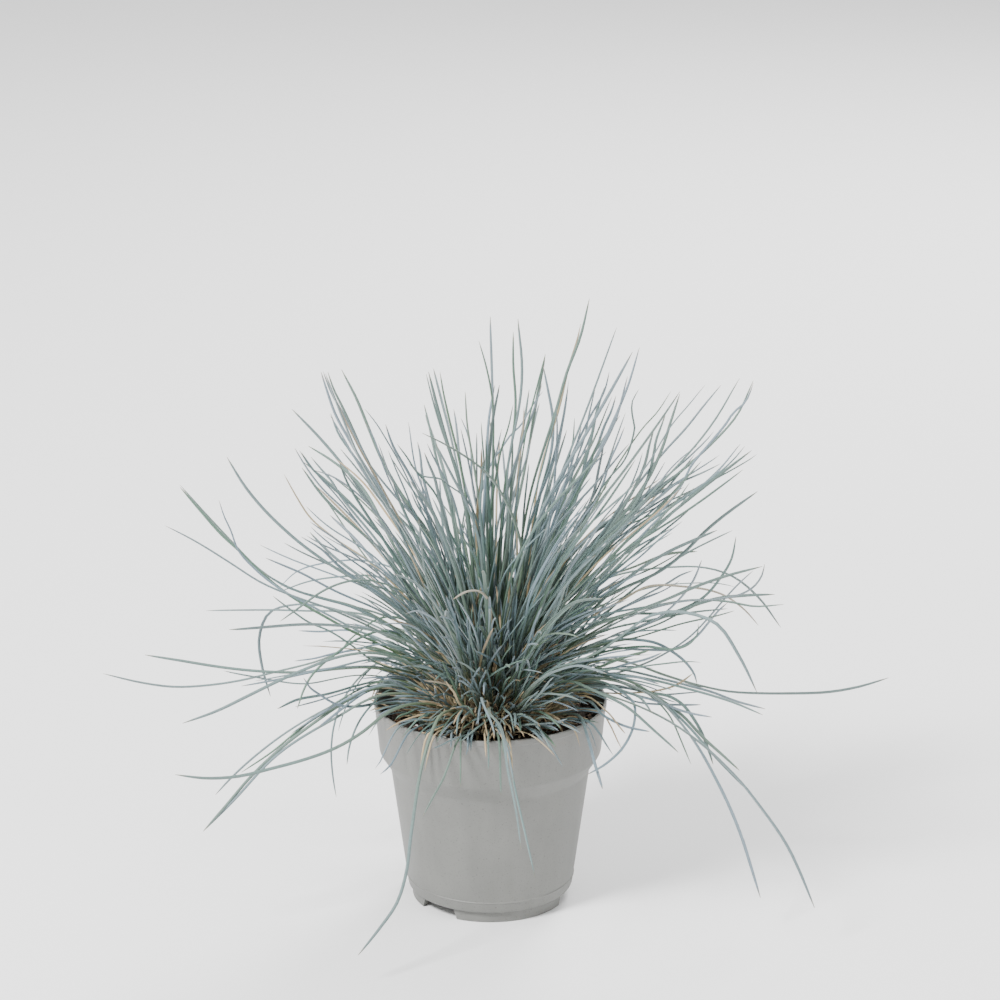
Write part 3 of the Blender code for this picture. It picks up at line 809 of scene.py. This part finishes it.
def lump(size, stretch, levels, rng):
    """Corners and faces of one irregular grain (mm): a flat one lies down, others are turned freely."""
    shape = bmesh.new()
    bmesh.ops.create_icosphere(shape, subdivisions=levels, radius=1.0)
    corners = np.array([corner.co[:] for corner in shape.verts])
    faces = [[corner.index for corner in face.verts] for face in shape.faces]
    shape.free()
    corners *= rng.uniform(*GRAIN_ROUGHNESS, (len(corners), 1))
    corners *= np.array(stretch) * size
    turn = np.linalg.qr(rng.normal(size=(3, 3)))[0]
    turn[:, 0] *= math.copysign(1.0, np.linalg.det(turn))
    if stretch[2] < FLAT_GRAIN:
        heading = Matrix.Rotation(rng.uniform(0, 2 * math.pi), 3, "Z")
        turn = np.array(heading @ Matrix.Rotation(rng.normal(0, FLAT_TILT), 3, "X"))
    return corners @ turn.T, faces


def mix_height(x, y):
    """The uneven top of the mix: a slight mound with small hollows (mm above its level)."""
    radius = np.hypot(x, y)
    waves = (np.sin(0.31 * x + 1.3) * np.cos(0.27 * y - 0.4) + 0.6 * np.sin(0.83 * x - 0.62 * y)
             + 0.4 * np.cos(1.37 * x + 1.11 * y + 2.0))
    return WAVE_HEIGHT * waves - EDGE_DROP * np.clip((radius - EDGE_START) / EDGE_WIDTH, 0, 1)


def make_mix(material):
    """The root ball, which fills the pot and has an uneven top."""
    inset = WALL + MIX_GAP
    slope = (RIM_RADIUS - BAND_FOOT_RADIUS) / (POT_HEIGHT - BAND_FOOT)
    top_radius = BAND_FOOT_RADIUS + slope * (MIX_TOP - BAND_FOOT) - inset
    step_lift = INNER_STEP_RISE + MIX_LIFT
    bevel, bevel_rise = MIX_FOOT_BEVEL
    profile = [(top_radius * ring / MIX_RINGS, MIX_TOP) for ring in range(MIX_RINGS + 1)]
    profile += [
        (BAND_FOOT_RADIUS - inset, BAND_FOOT + step_lift),
        (SHOULDER_FOOT_RADIUS - inset, SHOULDER_FOOT + step_lift),
        (BODY_FOOT_RADIUS - inset, FLOOR_TOP + MIX_LIFT + bevel_rise),
        (BODY_FOOT_RADIUS - inset - bevel, FLOOR_TOP + MIX_LIFT),
        (0.0, FLOOR_TOP + MIX_LIFT),
    ]
    mix = turned("peat_mix", profile, TURN_SIDES)
    for corner in mix.data.vertices:
        if corner.co.z > (MIX_TOP - MIX_TOP_DEPTH) * MM:
            corner.co.z += mix_height(corner.co.x / MM, corner.co.y / MM) * MM
    belongs(mix, material, "potting_mix", "potting_mix")


def scatter_grains(material, rng, name, count, sizes, stretch, levels):
    """Grains that lie on the mix, round the crown."""
    corners, faces = [], []
    start = 0
    for _ in range(count):
        radius = math.sqrt(rng.uniform(GRAIN_RING[0] ** 2, GRAIN_RING[1] ** 2))
        angle = rng.uniform(0, 2 * math.pi)
        x, y = radius * math.cos(angle), radius * math.sin(angle)
        size = rng.uniform(*sizes)
        shape, sides = lump(size, stretch, levels, rng)
        height = MIX_TOP + mix_height(x, y) + size * stretch[2] * rng.uniform(*GRAIN_RISE)
        half = np.hypot(shape[:, 0], shape[:, 1]).max()
        shape[:, :2] *= min(1.0, (GRAIN_REACH - radius) / half)
        corners.append((shape + (x, y, height)) * MM)
        faces += [[start + index for index in side] for side in sides]
        start += len(shape)
    grains = mesh_object(name, np.concatenate(corners), faces=faces)
    tones = rng.uniform(0, 1, count)
    write_mark(grains.data, "tone", np.repeat(tones, [len(block) for block in corners]))
    belongs(grains, material, "potting_mix")


def aimed(turn, across, height):
    """A direction out of the crown's middle, flattened as the crown is."""
    return Vector((across * math.cos(turn), across * math.sin(turn), height * CROWN_HEIGHT / CROWN_RADIUS))


def crown_aim(highest, rng):
    """A direction out of the crown, more often towards the front or the back than to the sides."""
    turn = rng.uniform(0, 2 * math.pi)
    if rng.uniform() > SIDE_SHARE:
        turn = rng.normal(math.copysign(math.pi / 2, -rng.uniform(*BACK_OR_FRONT)), TURN_SPREAD)
    lift = rng.uniform(0, math.radians(highest))
    return aimed(turn, math.cos(lift), math.sin(lift))


def arched(root, way, fall, rings):
    """A path that sets out from the root along the way and is bent more and more by the fall (mm)."""
    return [tuple(root + way * share + fall * share ** 2) for share in np.linspace(0, 1, rings)]


def crown_blades(rng, count, highest, lengths, sags, side_cut=0.0, dryness=None):
    """Blades from the crown's own surface, shorter at its sides, that arch over under their weight."""
    strands = []
    for _ in range(count):
        aim = crown_aim(highest, rng)
        length = rng.uniform(*lengths) * (1 - side_cut * abs(aim.x))
        sag = Vector((0, 0, rng.uniform(*sags)))
        root, outward = on_crown(aim)
        way = (outward + RISE + Vector(rng.normal(0, CROWN_SPREAD, 3))).normalized()
        fall = Vector(rng.normal(0, CROWN_BOW, 3)) - sag
        path = arched(root - outward * ROOT_DEPTH, way * length, fall * length, CROWN_RINGS)
        width = rng.uniform(*SHORT_HALF_WIDTH)
        tone = rng.uniform()
        mark = (tone, rng.uniform(*dryness), 0.0) if dryness else blade_mark(tone, rng)
        strands.append((path, width, mark))
    return blades(strands, rng)


def make_dome(material):
    """The dome that the tillers are packed into."""
    base = CROWN_LOW.z - DOME_INSET
    radius = CROWN_RADIUS - DOME_INSET
    angles = np.linspace(math.pi / 2, 0, DOME_RINGS + 1)
    profile = [(radius * math.cos(angle), base + CROWN_HEIGHT * math.sin(angle)) for angle in angles]
    profile.append((0.0, base))
    belongs(turned("crown_dome", profile, TURN_SIDES), material, "dry_sheath", "crown")


def stubs(rng):
    """Short old sheaths all over the crown, spaced by the golden angle."""
    strands = []
    for index in range(STUB_COUNT):
        height = 1 - (index + 0.5) / STUB_COUNT * (1 - STUB_LOWEST)
        place, outward = on_crown(aimed(index * GOLDEN_ANGLE, math.sqrt(1 - height ** 2), height))
        way = (outward + Vector(rng.normal(0, STUB_SPREAD, 3)) + RISE).normalized()
        length = rng.uniform(*STUB_LENGTH)
        droop = Vector((0, 0, -STUB_DROOP)) * length * rng.uniform()
        path = arched(place - outward * STUB_DEPTH, way * length, droop, len(STUB_TAPER))
        strands.append((path, rng.uniform(*STUB_HALF_WIDTH), (rng.uniform(), rng.uniform(), 1.0)))
    return sleeves(strands, STUB_TAPER, rng)


class Nodes:
    """Short calls for a material's nodes and links."""

    def __init__(self, name):
        self.material = bpy.data.materials.new(name)
        self.material.use_nodes = True
        self.tree = self.material.node_tree
        self.shader = self.tree.nodes["Principled BSDF"]

    def add(self, kind, **values):
        node = self.tree.nodes.new(kind)
        for key, value in values.items():
            setattr(node, key, value)
        return node

    def feed(self, socket, value):
        """A socket takes a number, a colour or what another node gives."""
        if isinstance(value, (int, float)):
            socket.default_value = value
        elif isinstance(value, tuple):
            socket.default_value = (*value, 1.0)
        else:
            self.tree.links.new(value, socket)

    def mark(self, name):
        """The mesh's own values with this name."""
        return self.add("ShaderNodeAttribute", attribute_name=name).outputs["Fac"]

    def place(self):
        """Where a point lies on the object (m)."""
        return self.add("ShaderNodeTexCoord").outputs["Object"]

    def fed(self, kind, **values):
        """A node whose sockets, by name, take these values."""
        node = self.add(kind)
        for name, value in values.items():
            self.feed(node.inputs[name], value)
        return node

    def noise(self, place, scale, detail, roughness=0.5):
        node = self.fed("ShaderNodeTexNoise", Vector=place, Scale=scale, Detail=detail, Roughness=roughness)
        return node.outputs["Fac"]

    def ramp(self, factor, *stops):
        """A colour for each factor, from stops of a place and its colour."""
        node = self.add("ShaderNodeValToRGB")
        band = node.color_ramp
        while len(band.elements) < len(stops):
            band.elements.new(0.5)
        for element, (place, colour) in zip(band.elements, stops):
            element.position = place
            element.color = (*colour, 1.0)
        self.feed(node.inputs["Fac"], factor)
        return node.outputs["Color"]

    def mix(self, factor, first, second, blend="MIX"):
        """Two colours mixed (the node takes colours in its sockets 6 and 7)."""
        node = self.add("ShaderNodeMix", data_type="RGBA", blend_type=blend)
        for index, value in ((0, factor), (6, first), (7, second)):
            self.feed(node.inputs[index], value)
        return node.outputs[2]

    def tint(self, colour, tones, strength=1.0):
        """The colour multiplied by tones, as far as the strength says."""
        return self.mix(strength, colour, tones, "MULTIPLY")

    def maths(self, operation, *values):
        node = self.add("ShaderNodeMath", operation=operation)
        for socket, value in zip(node.inputs, values):
            self.feed(socket, value)
        return node.outputs[0]

    def surface(self, colour, roughness):
        self.feed(self.shader.inputs["Base Color"], colour)
        self.feed(self.shader.inputs["Roughness"], roughness)

    def bump(self, height, strength, distance):
        node = self.fed("ShaderNodeBump", Strength=strength, Distance=distance, Height=height)
        self.feed(self.shader.inputs["Normal"], node.outputs["Normal"])


def leaf_material():
    """Blue-grey wax over green, pale at the foot, some blades dry, and straw sheaths at the base."""
    m = Nodes("fescue_leaf")
    along, tone, dry, sheath = (m.mark(name) for name in MARKS)
    bloom = m.ramp(along, (0.0, (0.25, 0.22, 0.12)), (0.08, (0.14, 0.165, 0.080)),
                   (0.25, (0.093, 0.139, 0.110)), (0.60, (0.115, 0.171, 0.180)),
                   (0.965, (0.123, 0.169, 0.180)), (1.0, (0.17, 0.145, 0.10)))
    cool = m.ramp(tone, (0.0, (0.66, 0.84, 0.56)), (0.35, (0.88, 0.96, 0.88)), (0.7, (1.04, 1.04, 1.10)),
                  (1.0, (1.34, 1.28, 1.44)))
    mottle = m.noise(m.place(), scale=900.0, detail=4.0)
    streaks = m.ramp(mottle, (0.3, (0.80, 0.83, 0.82)), (0.7, (1.12, 1.12, 1.12)))
    straw = m.ramp(along, (0.0, (0.32, 0.24, 0.13)), (0.5, (0.42, 0.33, 0.19)), (1.0, (0.34, 0.25, 0.15)))
    husk = m.ramp(dry, (0.0, (0.34, 0.31, 0.19)), (0.5, (0.44, 0.35, 0.21)), (1.0, (0.27, 0.19, 0.12)))
    colour = m.tint(m.tint(bloom, cool), streaks, 0.7)
    colour = m.mix(sheath, m.mix(dry, colour, straw), husk)
    m.surface(colour, m.maths("MULTIPLY_ADD", mottle, 0.25, 0.42))
    for name, value in (("Specular IOR Level", 0.35), ("Sheen Weight", 0.15), ("Sheen Roughness", 0.4)):
        m.feed(m.shader.inputs[name], value)
    m.bump(mottle, strength=0.25, distance=0.0002)
    return m.material


def plastic_material():
    """Matte grey recycled plastic with fine specks, flow streaks and faint dust by the rim."""
    m = Nodes("recycled_plastic")
    place = m.place()
    cloud = m.noise(place, scale=38.0, detail=5.0, roughness=0.6)
    grey = m.ramp(cloud, (0.3, (0.130, 0.132, 0.124)), (0.7, (0.160, 0.162, 0.151)))
    specks = m.noise(place, scale=1500.0, detail=2.0)
    dots = m.ramp(specks, (0.30, (0.62, 0.62, 0.60)), (0.38, (1.0, 1.0, 1.0)), (0.68, (1.0, 1.0, 1.0)),
                  (0.76, (1.22, 1.22, 1.20)))
    upright = m.fed("ShaderNodeMapping", Vector=place)
    upright.inputs["Scale"].default_value = (1.0, 1.0, 0.06)
    flow = m.noise(upright.outputs[0], scale=160.0, detail=3.0)
    streaks = m.ramp(flow, (0.35, (0.94, 0.94, 0.93)), (0.65, (1.04, 1.04, 1.04)))
    colour = m.tint(m.tint(grey, dots, 0.8), streaks, 0.6)
    height = m.fed("ShaderNodeMapRange", Value=m.fed("ShaderNodeSeparateXYZ", Vector=place).outputs["Z"])
    height.inputs["From Min"].default_value = (POT_HEIGHT - DUST_DEPTH) * MM
    height.inputs["From Max"].default_value = (POT_HEIGHT + DUST_ABOVE) * MM
    patches = m.ramp(m.noise(place, scale=210.0, detail=4.0), (0.5, (0, 0, 0)), (0.66, (1, 1, 1)))
    dust = m.maths("MULTIPLY", m.maths("MULTIPLY", height.outputs[0], patches), DUST_STRENGTH)
    m.surface(m.mix(dust, colour, (0.16, 0.12, 0.09)), m.maths("MULTIPLY_ADD", cloud, 0.2, 0.42))
    m.bump(specks, strength=0.12, distance=0.0002)
    return m.material


def peat_material():
    """Dark moist peat with brown fibre."""
    m = Nodes("moist_peat")
    crumbs = m.noise(m.place(), scale=420.0, detail=6.0, roughness=0.7)
    colour = m.ramp(crumbs, (0.25, (0.010, 0.007, 0.005)), (0.5, (0.035, 0.022, 0.014)),
                    (0.75, (0.085, 0.052, 0.030)))
    m.surface(colour, roughness=0.92)
    m.bump(crumbs, strength=0.9, distance=0.0012)
    return m.material


def grain_material(name, dark, light, roughness, scale):
    """Bark, crumbs or perlite: each grain has its own tone, and a fine mottle over it."""
    m = Nodes(name)
    mottle = m.noise(m.place(), scale=scale, detail=4.0)
    shade = m.ramp(mottle, (0.3, (0.7, 0.7, 0.7)), (0.7, (1.15, 1.15, 1.15)))
    own = m.ramp(m.mark("tone"), (0.0, dark), (1.0, light))
    m.surface(m.tint(own, shade, 0.8), roughness)
    m.bump(mottle, strength=0.6, distance=0.0004)
    return m.material


def make_stage():
    """A plain pale floor under soft, even studio light."""
    corners = [(x * FLOOR_REACH, y * FLOOR_REACH, 0.0) for x, y in ((-1, -1), (1, -1), (1, 1), (-1, 1))]
    floor = mesh_object("floor", corners, faces=[(0, 1, 2, 3)])
    card = Nodes("pale_floor")
    card.surface((0.86, 0.86, 0.86), roughness=0.9)
    floor.data.materials.append(card.material)
    world = bpy.data.worlds.new("soft_room")
    world.use_nodes = True
    world.node_tree.nodes["Background"].inputs["Color"].default_value = (1.0, 1.0, 1.0, 1.0)
    bpy.context.scene.world = world
    for name, place, size, power in LIGHTS:
        light = bpy.data.lights.new(name, "AREA")
        light.shape = "DISK"
        light.size = size
        light.energy = power
        lamp = new_object(name, light)
        lamp.location = place
        lamp.rotation_euler = (LIT_POINT - lamp.location).to_track_quat("-Z", "Y").to_euler()


def make_camera():
    """The camera in the photo's place."""
    lens = bpy.data.cameras.new("camera")
    lens.lens = LENS
    lens.sensor_width = SENSOR
    lens.shift_x = SHIFT_X
    lens.shift_y = SHIFT_Y
    lens.clip_start = NEAR_CLIP * MM
    lens.clip_end = 2 * FLOOR_REACH
    camera = new_object("camera", lens)
    camera.location = (0.0, -EYE_DISTANCE * MM, EYE_HEIGHT * MM)
    camera.rotation_euler = (math.pi / 2 - CAMERA_TILT, 0.0, 0.0)
    bpy.context.scene.camera = camera


def make_plant():
    """Every blade and sheath, each group with its own seed."""
    leaf = leaf_material()
    tufts = sorted(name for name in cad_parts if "tuft" in name)
    for number, node in enumerate(tufts):
        grow_tuft(node, leaf, number * TONE_STEP % 1, np.random.default_rng(TUFT_SEED + number))
    lone = {"left": LONE_LEFT, "top": LONE_TOP, "right": LONE_RIGHT}
    for number, (side, shapes) in enumerate(lone.items()):
        grow_lone_blades(side, shapes, leaf, np.random.default_rng(LONE_SEED + number))
    make_strands("young_blades", [crown_blades(np.random.default_rng(YOUNG_SEED), **YOUNG)], leaf, "leaf")
    rng = np.random.default_rng(CROWN_SEED)
    make_strands("crown_thatch", [stubs(rng), crown_blades(rng, **OLD)], leaf, "dry_sheath", "crown")


def make_ground():
    """The mix, the crown's dome in it and the grains on it."""
    peat = peat_material()
    make_mix(peat)
    make_dome(peat)
    finishes = {
        "peat_crumbs": grain_material("crumb", (0.008, 0.006, 0.005), (0.06, 0.038, 0.024), 0.95, 700.0),
        "bark_chips": grain_material("bark", (0.030, 0.017, 0.010), (0.16, 0.085, 0.042), 0.85, 500.0),
        "perlite_grains": grain_material("perlite", (0.62, 0.61, 0.57), (0.80, 0.79, 0.76), 0.8, 900.0),
    }
    rng = np.random.default_rng(GRAIN_SEED)
    for name, *form in GRAINS:
        scatter_grains(finishes[name], rng, name, *form)


make_camera()
make_stage()
make_pot(plastic_material())
make_ground()
make_plant()
